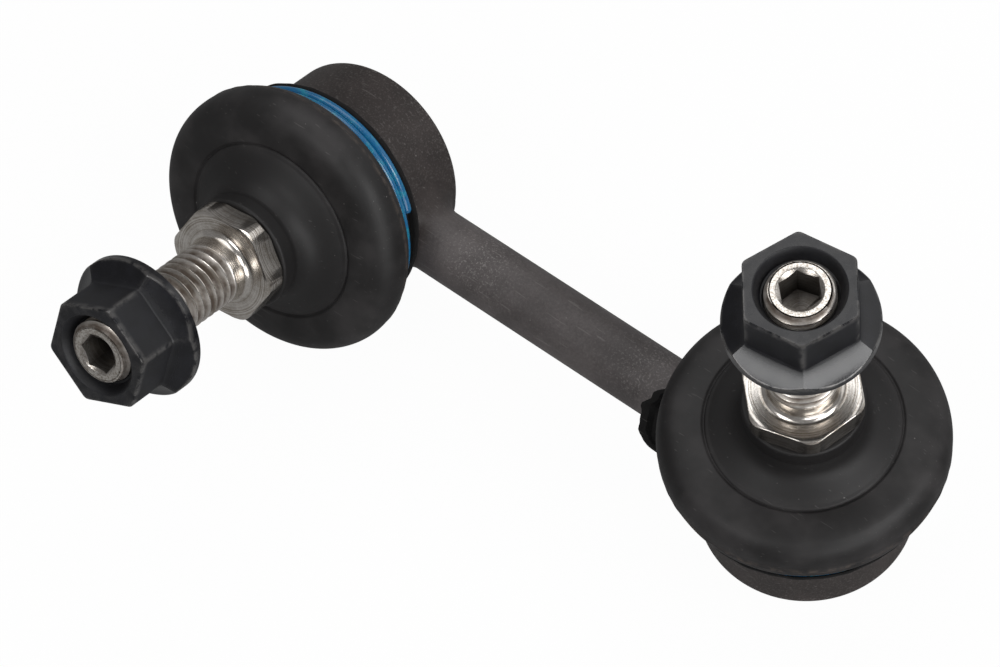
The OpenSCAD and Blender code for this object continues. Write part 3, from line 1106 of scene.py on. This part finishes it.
@dataclass
class BallStud:
    """The stud: ball, neck, boot land, hexagon collar, fillet, shank, thread and socketed end."""

    turn: float
    ball_r: float = 8.0
    ball_lift: float = 4.4
    neck_r: float = 4.2
    neck_z: float = 12.0
    neck_top: float = 16.1
    land_r: float = 6.0
    land_z: float = 19.7
    collar_z: float = 25.3
    collar_face: float = 28.9
    collar_af: float = 16.0
    collar_round: float = 2.2
    seat_face_r: float = 8.45
    chamfer: float = 30.0
    fillet: float = 1.2
    stud_r: float = 4.97
    thread_z: float = 31.4
    end_z: float = 56.8
    pitch: float = 1.5
    thread_depth: float = 0.9
    tip_chamfer: float = 0.8
    tip_round: float = 0.8
    tip_fall: float = 0.3
    socket_af: float = 5.4
    socket_depth: float = 5.5
    socket_edge: float = 0.12
    columns: int = 144

    def thread(self, theta: np.ndarray) -> tuple[np.ndarray, np.ndarray, np.ndarray]:
        """Cut a right-hand thread into the shank, in rows that follow the helix.

        A row's height is its own height plus the pitch times the angle over a full turn, kept between the thread's
        two ends. So the last column of a row meets the first column of the row one pitch further on. Its depth is
        its place on the thread's profile, from 0 on the narrow crest to 1 on the root, and fades in at the start.
        The rounded end limits the radius.

        Args:
            theta: Angle of each column, from 0 to a full turn.

        Returns:
            Radius, height and depth for each row and column.
        """
        along = np.array([0.0, 0.04, 0.08, 0.13, 0.30, 0.47, 0.52, 0.57, 0.62, 0.79, 0.96])
        profile = np.array([0.0, 0.0, 0.0, 0.10, 0.52, 0.93, 1.0, 1.0, 0.93, 0.52, 0.10])
        turns = math.ceil((self.end_z - self.thread_z) / self.pitch) + 2
        first = self.thread_z + self.pitch * (np.arange(turns)[:, None] - 1 + along).reshape(-1, 1)
        z = np.clip(first + self.pitch * theta / FULL_TURN, self.thread_z, self.end_z)
        depth = np.tile(profile, turns)[:, None] * ramp(z, self.thread_z, self.thread_z + 0.8 * self.pitch)
        cut = self.stud_r - self.thread_depth * depth
        t = np.clip((z - self.end_z + self.tip_chamfer) / self.tip_chamfer, 0, 1)
        tip = self.stud_r + 0.05 - self.tip_round * (1 - np.sqrt(1 - (0.9 * t) ** 2)) - self.tip_fall * t
        return np.minimum(cut, tip), z, np.where(cut < tip, ramp(depth, 0.02, 0.20), 0.2 * t)

    def collar(self, theta: np.ndarray) -> Rows:
        """Work out the collar: underside, hexagon, and the cone that cuts its corners.

        Each row of the cone has its own radius, but no more than the hexagon's there, and the height follows the
        cone's slope, so that the arcs on the flats come out exact.

        Args:
            theta: Angle of each column.

        Returns:
            Radius and height for each row and column.
        """
        hexed, level = hexagon(theta, self.collar_af, self.collar_round), np.ones_like(theta)
        slope = math.tan(math.radians(self.chamfer))
        corner = float(hexed.max())
        under = np.minimum(hexed, corner - 0.5)
        cone = np.minimum(hexed, np.linspace(corner, self.seat_face_r + 0.12, 20)[:, None])
        slant = self.collar_face - 0.06 - np.maximum(cone - self.seat_face_r, 0) * slope
        base = level * self.collar_z
        return stack([
            (np.array([level * self.land_r, under, hexed]), np.array([base, base, base + 0.1 + (hexed - under)])),
            (cone, slant),
            (np.minimum(hexed, self.seat_face_r)[None] - 0.1, level[None] * self.collar_face),
        ])

    def surface(self) -> Surface:
        """Stack the rows from the ball's pole to the bottom of the socket.

        Returns:
            The closed stud, with the thread's roots, where oil and shade are painted, the painted shade of the
            socket and the end face as masks.
        """
        theta = np.linspace(0, FULL_TURN, self.columns + 1)
        flat = np.ones_like(theta)
        meet = math.degrees(math.acos(self.neck_r / self.ball_r))
        below = np.concatenate([
            arc((0.0, self.ball_lift), self.ball_r, -90, meet, 36),
            line((self.neck_r, self.neck_z), (self.neck_r, self.neck_top), (self.land_r, self.land_z), step=1.0),
            line((self.land_r, self.land_z + 0.5), (self.land_r, self.collar_z - 0.1), step=2.0),
        ])
        foot, shank_z = self.stud_r + self.fillet, self.collar_face + self.fillet
        face = np.concatenate([
            line((self.collar_af / 2 - 0.4, self.collar_face), (foot + 0.1, self.collar_face), step=0.3),
            arc((foot, shank_z), self.fillet, 270, 180, 12),
            line((self.stud_r, shank_z + 0.3), (self.stud_r, self.thread_z - 0.1), step=0.5),
        ])
        rod, rod_z, depth = self.thread(theta)
        hexed = hexagon(theta, self.socket_af)
        rim = float(hexed.max()) + self.socket_edge
        tip_r = float(rod[-1].min())
        end_z, floor = self.end_z, self.end_z - self.socket_depth
        inside = [
            (flat * (tip_r - self.socket_edge), flat * end_z),
            (flat * (rim + self.socket_edge), flat * end_z),
            (flat * rim, flat * (end_z - 0.06)),
            (hexed, end_z - 0.10 - (rim - hexed) * 0.6),
            (hexed, flat * (floor + 1.0)),
            (hexed, flat * floor),
            (hexed * 0.5, flat * (floor - 0.5)),
            (flat * 0.0, flat * (floor - 1.0)),
        ]
        # weights of the painted shade down the socket's walls, row by row
        socket = np.outer([0.0, 0.0, 0.1, 0.5, 0.85, 0.9, 0.5, 0.9], flat)
        socket_r, socket_z = (np.array(rows) for rows in zip(*inside))
        radius, height = stack([
            spread(below, theta), self.collar(theta), spread(face, theta), (rod, rod_z), (socket_r, socket_z)
        ])
        plain = np.zeros((len(radius) - len(rod) - len(socket), len(theta)))
        masks = {
            "root": np.concatenate([plain, depth, 0.5 * socket]),
            "socket_shade": np.concatenate([plain, 0 * depth, socket]),
            "end": ramp(height, end_z - 0.3, end_z - 0.05),
        }
        surface = Surface.turned(radius, height, theta + math.radians(self.turn), **masks)
        surface.wrapped = False
        return surface

    def build(self, end: End, place: Place, finishes: Finishes) -> None:
        """Make the stud.

        Args:
            end: Which ball joint.
            place: Its frame.
            finishes: The materials.
        """
        made = finishes.piece(f"{end.value}_threaded_stud", self.surface(), place, Slot.STUD, crease=38.0)
        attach(made, f"{end.value}_stud")
        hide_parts(f"{end.value}_ball_stud")


@dataclass
class FlangeNut:
    """The nut: a hexagon on a round flange that has one hollow facet under each side."""

    turn: float
    base_z: float = 47.1
    height: float = 10.0
    across_flats: float = 15.4
    corner: float = 1.1
    edge: float = 0.16
    flange_r: float = 10.9
    rim_t: float = 1.1
    rim_edge: float = 0.12
    facet_slope: float = 33.0
    facet_curve: float = 0.30
    sink_r: float = 6.35
    sink_depth: float = 1.9
    bore_r: float = 5.06
    bore_rows: int = 84
    thread_depth: float = 0.42
    pitch: float = 1.5
    columns: int = 180

    def flange(self, theta: np.ndarray) -> Rows:
        """Work out the flange from its round rim up the facets to the hexagon.

        A facet's height grows with the slope times the distance from the rim at the middle of its flat, measured
        square to the flat: the radius times the cosine of the angle from the flat's middle. A square term hollows
        the facet, so that it is steeper at the hexagon than at the rim.

        Args:
            theta: Angle of each column from a corner.

        Returns:
            Radius and height for each row and column.
        """
        slope = math.tan(math.radians(self.facet_slope))
        flat = np.cos(np.mod(theta, np.pi / 3) - np.pi / 6)
        hexed = hexagon(theta, self.across_flats, self.corner)
        t = np.concatenate([[0.0, 0.012, 0.04], np.linspace(0.1, 0.94, 16), [0.98, 1.0]])[:, None]
        radius = (self.flange_r - self.rim_edge) * (1 - t) + hexed * t
        wide = self.flange_r - self.across_flats / 2
        u = (self.flange_r - radius * flat) / wide
        height = self.rim_t + 0.05 + (u + self.facet_curve * (u * u - u)) * wide * slope
        bend = ramp(t, 0.93, 1.0)
        return radius + bend * 0.02, height + bend * 0.12

    def top(self, theta: np.ndarray) -> Rows:
        """Work out the hexagon's upper edge and its flat face up to the countersink.

        Args:
            theta: Angle of each column from a corner.

        Returns:
            Radius and height for each row and column.
        """
        hexed = hexagon(theta, self.across_flats, self.corner)
        t = np.array([0.0, 0.1, 0.3, 0.6, 1.0])[:, None]
        face = (hexed - self.edge) * (1 - t) + (self.sink_r + 0.2) * t
        radius = np.concatenate([hexed[None], hexed[None] - self.edge * 0.3, face])
        height = np.array([-self.edge, -self.edge * 0.3, 0, 0, 0, 0, 0])[:, None] + self.height + 0 * radius
        return radius, height

    def surface(self) -> Surface:
        """Stack the rows: base, rim, facets, hexagon, top face, countersink, and the threaded bore back down.

        Returns:
            The closed nut, with its edges and its dull places as masks.
        """
        theta = round_angles(self.columns, corners=6, margin=1.6)
        flat = np.ones_like(theta)
        facets, top = self.flange(theta), self.top(theta)
        base = line((self.bore_r + 0.6, 0.0), (self.flange_r - 0.25, 0.0), step=0.6)
        t = np.array([0.0, 0.05, 0.5, 0.92, 1.0])[:, None]
        low, high = self.rim_edge, facets[1][:1] - 2 * self.rim_edge
        rim = (flat * self.flange_r - self.rim_edge * (t == 0), low + high * t)
        u = np.array([0.15, 0.5, 0.85])[:, None]
        side = (top[0][:1] * np.ones_like(u), facets[1][-1:] * (1 - u) + top[1][:1] * u)
        sink_z = self.height - self.sink_depth
        sink = np.concatenate([
            line((self.sink_r + 0.1, self.height), (self.sink_r, self.height - 0.06)),
            line((self.sink_r - 0.1, self.height - 0.2), (self.bore_r + 0.35, sink_z), step=0.25),
        ])
        z = np.linspace(sink_z - 0.05, 0.62, self.bore_rows)[:, None]
        depth = np.abs(np.mod(z / self.pitch - theta / FULL_TURN, 1.0) - 0.5) * 2
        bore = (self.bore_r + self.thread_depth * ramp(depth, 0.15, 0.85), z * flat)
        blocks = [spread(base, theta), rim, facets, side, top, spread(sink, theta), bore]
        radius, height = stack(blocks)
        dull = np.concatenate([
            np.zeros(len(base) + len(t)),
            np.linspace(0.0, 1.0, len(facets[0])) ** 4,
            np.full(len(u), 1.1),
            np.zeros(len(top[0])),
            np.ones(len(sink) + len(z)),
        ])
        masks = {"edge": self.edges(theta, blocks), "dull": dull}
        return Surface.turned(radius, height + self.base_z, theta + math.radians(self.turn), closed=True, **masks)

    def edges(self, theta: np.ndarray, blocks: list[Rows]) -> np.ndarray:
        """Find where the coat rubs off: the rim, the hexagon's corners and the edge of the top face.

        Args:
            theta: Angle of each column from a corner.
            blocks: Radius and height of base, rim, facets, sides, top, countersink and bore.

        Returns:
            A number from 0 to 1 for each row and column.
        """
        corner = bell(from_corner(theta), 0.0, math.radians(2.2))
        masks = [np.zeros(radius.shape) for radius, _ in blocks]
        masks[1] += np.array([0.1, 0.1, 0.1, 0.7, 0.9])[:, None]
        masks[2] += 0.15 * corner
        masks[2][:3] += np.array([0.9, 0.8, 0.15])[:, None]
        masks[3] += 0.75 * corner
        masks[4] += np.array([0.8, 1.0, 0.9, 0.25, 0.12, 0.12, 0.12])[:, None]
        return np.clip(np.concatenate(masks), 0, 1)

    def build(self, end: End, place: Place, finishes: Finishes) -> None:
        """Make the nut.

        Args:
            end: Which ball joint.
            place: Its frame.
            finishes: The materials.
        """
        made = finishes.piece(f"{end.value}_nut_body", self.surface(), place, Slot.NUT, crease=28.0)
        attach(made, f"{end.value}_nut")
        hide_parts(f"{end.value}_flange_nut")


@dataclass
class BallJoint:
    """One end of the link, with everything that sits on its stud's axis."""

    end: End
    nut_turn: float
    collar_turn: float
    boot: Boot = field(default_factory=Boot)
    clamp_start: float = 29.0
    ball_lift: float = 4.4

    def build(self, finishes: Finishes) -> Place:
        """Make all pieces of this end.

        Args:
            finishes: The materials.

        Returns:
            The frame of this end.
        """
        end, tag = self.end, self.end.value
        place = Place.of_end(end, self.ball_lift)
        clamp = WireRing("clamp_ring", 17.625, 6.1, 1.35, 1.39, Slot.CLAMP, start=self.clamp_start)
        neck = WireRing("neck_ring", 8.15, self.boot.neck_ring_z, 0.9, 0.94, Slot.NECK, rows=220)
        Housing().build(end, place, finishes)
        self.boot.build(end, place, finishes)
        clamp.build(end, "link_body", place, finishes)
        neck.build(end, f"{tag}_boot_end", place, finishes)
        BallStud(turn=self.collar_turn).build(end, place, finishes)
        FlangeNut(turn=self.nut_turn).build(end, place, finishes)
        finishes.carry(f"{tag}_ball_seat", Slot.SEAT)
        return place


# Studio


@dataclass(frozen=True)
class Lamp:
    """A soft box: where it hangs as seen by the camera, in metres to the right, up and towards the camera."""

    name: str
    offset: RGB
    width: float
    height: float
    power: float


@dataclass(frozen=True)
class Studio:
    """A pale floor, soft boxes round the camera, and the camera at the photograph's angle."""

    eye: RGB = (0.19434, -0.25193, 0.60952)
    aim: RGB = (-0.04597, -0.01088, -0.01945)
    roll: float = -8.025
    lens: float = 180.0
    sensor: float = 36.0
    floor_half: float = 3.0
    floor_cells: int = 8
    floor_grey: RGB = (0.82, 0.82, 0.82)
    mirror_grey: RGB = (0.26, 0.26, 0.26)
    floor_glow: float = 0.97
    room: RGB = (0.77, 0.76, 0.765)
    room_strength: float = 0.25
    lamps: tuple[Lamp, ...] = (
        Lamp("top_panel", (-0.10, 0.92, 0.62), 1.1, 0.9, 4.6),
        Lamp("right_box", (0.66, -0.04, 0.93), 0.55, 0.55, 5.6),
        Lamp("left_box", (-0.60, -0.06, 0.95), 0.36, 0.50, 2.9),
        Lamp("low_box", (0.40, -0.64, 0.62), 0.70, 0.40, 2.8),
        Lamp("side_panel", (0.95, 0.72, 0.16), 0.80, 0.80, 1.5),
    )

    def axes(self) -> tuple[Vector, Vector, Vector]:
        """Right, up and back of the camera: level first, then rolled about the line of sight.

        Returns:
            Three unit vectors.
        """
        ahead = (Vector(self.aim) - Vector(self.eye)).normalized()
        level = ahead.cross(Vector((0, 0, 1))).normalized()
        upright = level.cross(ahead)
        a = math.radians(self.roll)
        right = level * math.cos(a) + upright * math.sin(a)
        return right, right.cross(ahead), -ahead

    def camera(self) -> None:
        """Set the camera up at the photograph's angle."""
        right, up, back = self.axes()
        data = bpy.data.cameras.new("photo_camera")
        data.lens, data.sensor_width = self.lens, self.sensor
        data.clip_start, data.clip_end = 0.01, 20.0
        made = bpy.data.objects.new("photo_camera", data)
        made.matrix_world = Matrix.Translation(self.eye) @ Matrix((right, up, back)).transposed().to_4x4()
        bpy.context.scene.collection.objects.link(made)
        bpy.context.scene.camera = made

    def lights(self) -> None:
        """Hang the soft boxes round the line of sight, each turned to the object."""
        right, up, back = self.axes()
        for lamp in self.lamps:
            data = bpy.data.lights.new(lamp.name, "AREA")
            data.shape, data.size, data.size_y, data.energy = "RECTANGLE", lamp.width, lamp.height, lamp.power
            made = bpy.data.objects.new(lamp.name, data)
            away = right * lamp.offset[0] + up * lamp.offset[1] + back * lamp.offset[2]
            turn = away.to_track_quat("Z", "Y").to_matrix().to_4x4()
            made.matrix_world = Matrix.Translation(Vector(self.aim) + away) @ turn
            bpy.context.scene.collection.objects.link(made)

    def floor(self, height: float) -> None:
        """Lay the floor, which looks white to the camera and grey in reflections, and still takes the shadow.

        Args:
            height: Height of the floor in metres.
        """
        net = Net("studio_floor")
        rays = ("Is Camera Ray", "Is Transmission Ray", "Is Glossy Ray")
        direct, through, mirrored = (net.node("ShaderNodeLightPath", {}, {}, ray) for ray in rays)
        seen = direct + through + mirrored
        pale = net.node("ShaderNodeBsdfDiffuse", {}, {"Color": (*self.floor_grey, 1)})
        glow = net.mix(mirrored, (1, 1, 1), self.mirror_grey)
        white = net.node("ShaderNodeEmission", {}, {"Color": glow, "Strength": 1.0})
        mixed = net.node("ShaderNodeMixShader", {}, {0: seen * self.floor_glow, 1: pale, 2: white})
        net.node("ShaderNodeOutputMaterial", {}, {"Surface": mixed})
        side = np.linspace(-1, 1, self.floor_cells + 1) * self.floor_half
        x, y = np.meshgrid(side, side)
        grid = Surface(np.stack([x, y, np.full_like(x, height)], -1), wrapped=False)
        mesh = bpy.data.meshes.new("studio_floor")
        mesh.from_pydata(grid.points.reshape(-1, 3).tolist(), [], grid.faces().tolist())
        mesh.materials.append(net.material)
        made = bpy.data.objects.new("studio_floor", mesh)
        bpy.context.scene.collection.objects.link(made)
        made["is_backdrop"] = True

    def world(self) -> None:
        """Fill the room with a plain grey light."""
        made = bpy.data.worlds.new("studio_room")
        made.use_nodes = True
        shade = made.node_tree.nodes["Background"]
        shade.inputs["Color"].default_value = (*self.room, 1)
        shade.inputs["Strength"].default_value = self.room_strength
        bpy.context.scene.world = made

    def build(self, floor_height: float) -> None:
        """Set the scene up.

        Args:
            floor_height: Height of the floor in metres.
        """
        self.camera()
        self.lights()
        self.floor(floor_height)
        self.world()
        bpy.context.scene.view_settings.view_transform = "Standard"


def main() -> None:
    """Build both ends, the rod and the studio, with the floor just under the lowest point."""
    logging.basicConfig(level=logging.INFO, format="%(message)s")
    finishes = Finishes()
    left = BallJoint(End.LEFT, nut_turn=27.0, collar_turn=8.0).build(finishes)
    torn = Boot(seed=29, flap=5.6, lean=(0.5, -0.5), cuff=1.0, lobe_r=20.75)
    right = BallJoint(End.RIGHT, nut_turn=8.0, collar_turn=15.0, boot=torn).build(finishes)
    LinkRod().build(left, right, finishes)
    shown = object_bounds()
    Studio().build(shown[0].z - FLOOR_GAP)


if __name__ == "__main__":
    main()
